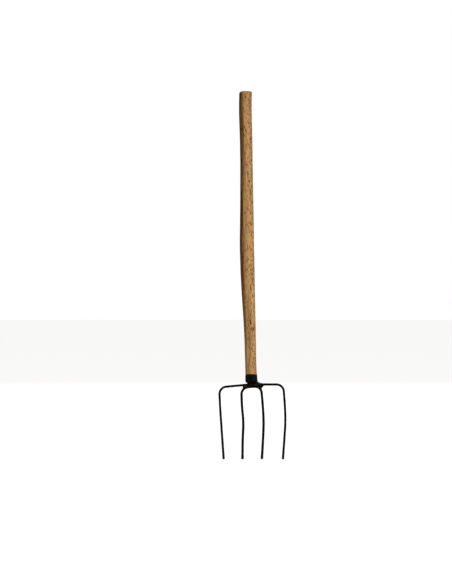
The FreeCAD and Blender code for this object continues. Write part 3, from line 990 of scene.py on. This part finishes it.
def whittleTree():
    # turns a smooth stick into a whittled one: soft facets that drift, slow waves in its line
    # and the knife's chatter, none of it where the stick sits in the ferrule
    tree, given = newTree("whittledStick", (
        "Facets", "Facet Depth", "Facet Drift", "Wave Length", "Wave Depth", "Chatter Room",
        "Chatter Depth"), ChatterRoom="Vector")
    place = addNode(tree, "GeometryNodeInputPosition")
    normal = addNode(tree, "GeometryNodeInputNormal")
    parts = addNode(tree, "ShaderNodeSeparateXYZ", {0: place})
    facing = addNode(tree, "ShaderNodeSeparateXYZ", {0: normal})
    angle = addNode(tree, "ShaderNodeMath", {
        0: facing.outputs["Y"], 1: facing.outputs["X"]}, operation="ARCTAN2")
    # the facets' own slow drift along the stick
    climb = addNode(tree, "ShaderNodeMath", {
        0: parts.outputs["Z"], 1: given["Facet Drift"]}, operation="DIVIDE")
    drift = addNode(tree, "ShaderNodeTexNoise", {
        "W": climb, "Scale": 1.0, "Detail": 1}, noise_dimensions="1D")
    turned = addNode(tree, "ShaderNodeMath", {
        0: drift, 1: 2.2, 2: angle}, operation="MULTIPLY_ADD")
    counted = addNode(tree, "ShaderNodeMath", {
        0: turned, 1: given["Facets"]}, operation="MULTIPLY")
    halved = addNode(tree, "ShaderNodeMath", {0: counted, 1: 0.5}, operation="MULTIPLY")
    edge = addNode(tree, "ShaderNodeMath", {0: halved}, operation="COSINE")
    flat = addNode(tree, "ShaderNodeMath", {0: edge}, operation="ABSOLUTE")
    sunk = addNode(tree, "ShaderNodeMath", {
        0: flat, 1: given["Facet Depth"]}, operation="MULTIPLY")
    # waves
    finer = addNode(tree, "ShaderNodeMath", {0: 1.0, 1: given["Wave Length"]},
                    operation="DIVIDE")
    waves = addNode(tree, "ShaderNodeTexNoise", {
        "Vector": place, "W": given["Seed"], "Scale": finer, "Detail": 1},
        noise_dimensions="4D")
    waved = aboutMiddle(tree, waves, given["Wave Depth"])
    # chatter: short ridges across the grain, mostly on the side that shows its rays
    ridges = addNode(tree, "ShaderNodeVectorMath", {
        0: place, 1: given["Chatter Room"]}, operation="DIVIDE")
    rippled = addNode(tree, "ShaderNodeTexNoise", {
        "Vector": ridges, "Scale": 1.0, "Detail": 1, "Roughness": 0.5})
    side = addNode(tree, "GeometryNodeInputNamedAttribute", {"Name": "rayFace"},
                   data_type="FLOAT")
    share = addNode(tree, "ShaderNodeMath", {
        0: side.outputs["Attribute"], 1: 0.75, 2: 0.25}, operation="MULTIPLY_ADD")
    chatter = aboutMiddle(tree, rippled, share, given["Chatter Depth"])
    both = addNode(tree, "ShaderNodeMath", {0: waved, 1: chatter}, operation="ADD")
    total = addNode(tree, "ShaderNodeMath", {0: both, 1: sunk}, operation="SUBTRACT")
    free = addNode(tree, "GeometryNodeInputNamedAttribute", {"Name": "free"},
                   data_type="FLOAT")
    held = addNode(tree, "ShaderNodeMath", {
        0: total, 1: free.outputs["Attribute"]}, operation="MULTIPLY")
    endTree(tree, pushOut(tree, given["Geometry"], held), given["Material"])
    return tree


def makeHandle():
    piece = runTree("whittled_handle", handleBlank(), whittleTree(), {
        "Facets": float(handle["facets"]), "Facet Depth": handle["facetDepth"] * mm,
        "Facet Drift": handle["facetDrift"] * mm, "Wave Length": handle["waveLength"] * mm,
        "Wave Depth": handle["waveDepth"] * mm,
        "Chatter Room": [size * mm for size in handle["chatterRoom"]],
        "Chatter Depth": handle["chatterDepth"] * mm, "Seed": handle["seed"],
        "Material": whittledBeech})
    settle(piece, "handle")
    print("handle has", len(piece.data.polygons), "faces")


makeHandle()


# Inside the handle

inside = {"tang": steelMaterial(bareSteel), "tang_glue": epoxyMaterial(setEpoxy)}
for node, material in inside.items():
    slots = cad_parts[node].data.materials
    slots.clear()
    slots.append(material)
print("tang and its glue finished")


# The stage

stage = {
    "floorColour": "#7F7D7A",
    "floorSide": 12,  # m
    "floorGlow": 0.93,
    "floorThrows": "#453C33",
    "viewHeight": 317.75,  # mm, what the frame takes in from top to bottom
    "cameraDistance": 1200,  # mm
    "cameraHeight": 90.83,  # mm
    "cameraAside": -14.37,  # mm
    "surroundings": 0.06,
    "surroundingsColour": "#FFCB8A",
}

# Square soft lights: degrees right of the front and up, distance and size (mm), power (W).
lights = {
    "key": {"side": 41, "rise": 28, "distance": 900, "size": 200, "power": 7.7},
    "fill": {"side": -70, "rise": 15, "distance": 900, "size": 400, "power": 0.16,
             "colour": "#FFB457"},
    "back": {"side": 180, "rise": 25, "distance": 900, "size": 400, "power": 5.0},
    "bounce": {"side": -74, "rise": -22, "distance": 62, "size": 62, "power": 0.014,
               "aim": 0.24},
}


def showOnlyToCamera(tree, seen, lit, end):
    # the camera sees one shader, and the fork is lit by another
    direct = addNode(tree, "ShaderNodeLightPath").outputs["Is Camera Ray"]
    chosen = addNode(tree, "ShaderNodeMixShader", {0: direct, 1: lit, 2: seen})
    linkInputs(tree, tree.nodes[end], {"Surface": chosen})


def makeFloor():
    # pale card that looks evenly bright, but throws little of that light back on the fork
    half = stage["floorSide"] / 2
    corners = [(-half, -half, 0), (half, -half, 0), (half, half, 0), (-half, half, 0)]
    floor = newObject("floor", meshFrom("floor", corners, [(0, 1, 2, 3)]))
    material = bpy.data.materials.new("paleCardFloor")
    material.use_nodes = True
    tree = material.node_tree
    seen = tree.nodes["Principled BSDF"]
    linkInputs(tree, seen, {
        "Base Color": linearColour(stage["floorColour"]), "Roughness": 0.9,
        "Specular IOR Level": 0.0, "Emission Color": (1, 1, 1, 1),
        "Emission Strength": stage["floorGlow"]})
    dim = addNode(tree, "ShaderNodeBsdfDiffuse", {"Color": linearColour(stage["floorThrows"])})
    showOnlyToCamera(tree, seen, dim, "Material Output")
    floor.data.materials.append(material)


def makeSurroundings():
    # plain white to look at, and dim light on the fork
    world = bpy.data.worlds.new("studio")
    bpy.context.scene.world = world
    world.use_nodes = True
    tree = world.node_tree
    seen = tree.nodes["Background"]
    seen.inputs["Color"].default_value = (1, 1, 1, 1)
    lit = addNode(tree, "ShaderNodeBackground", {
        "Color": linearColour(stage["surroundingsColour"]), "Strength": stage["surroundings"]})
    showOnlyToCamera(tree, seen, lit, "World Output")


def addLight(name, side, rise, distance, size, power, colour="#FFFFFF", aim=0.5):
    # aimed at this share of the fork's height
    target = Vector((0, 0, cadHigh[2] * aim))
    a, b = math.radians(side), math.radians(rise)
    way = Vector((math.sin(a) * math.cos(b), -math.cos(a) * math.cos(b), math.sin(b)))
    light = bpy.data.lights.new(name, "AREA")
    light.size = size * mm
    light.energy = power
    light.color = linearColour(colour)[:3]
    lamp = newObject(name, light)
    lamp.location = target + way * distance * mm
    lamp.rotation_euler = way.to_track_quat("Z", "Y").to_euler()
    lamp.visible_camera = False


def makeCamera():
    camera = bpy.data.cameras.new("camera")
    camera.sensor_fit = "VERTICAL"
    camera.sensor_height = 24
    camera.lens = 24 * stage["cameraDistance"] / stage["viewHeight"]
    camera.clip_start = 0.01
    camera.clip_end = 50
    holder = newObject("camera", camera)
    holder.location = Vector((stage["cameraAside"], -stage["cameraDistance"],
                              stage["cameraHeight"])) * mm
    holder.rotation_euler = (math.pi / 2, 0, 0)
    bpy.context.scene.camera = holder


makeFloor()
makeSurroundings()
for name, light in lights.items():
    addLight(name, **light)
makeCamera()
bpy.context.scene.view_settings.view_transform = "Standard"
print("stage, lights and camera ready")
